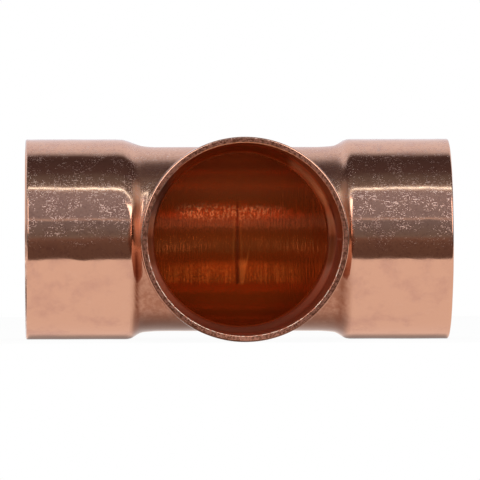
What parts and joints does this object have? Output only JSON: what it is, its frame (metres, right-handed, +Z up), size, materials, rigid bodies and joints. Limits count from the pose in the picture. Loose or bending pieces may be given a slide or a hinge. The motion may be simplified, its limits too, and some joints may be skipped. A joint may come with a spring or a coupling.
{
  "type": "tee fitting",
  "caption": "Equal tee for soldered copper tube: a straight barrel with swelled sockets on both ends and on a square branch.",
  "frame": {"origin": "the point where the run axis and the branch axis cross", "axes": "+X along the run, -Y along the branch towards its mouth, +Z up with all three sockets lying on the floor"},
  "size_m": [0.0504, 0.0391, 0.0238],
  "materials": {
    "copper": "bright formed copper, lightly scuffed"
  },
  "bodies": {
    "root": {"tee_body": "copper", "left_socket": "copper", "right_socket": "copper", "branch_socket": "copper"}
  },
  "joints": []
}
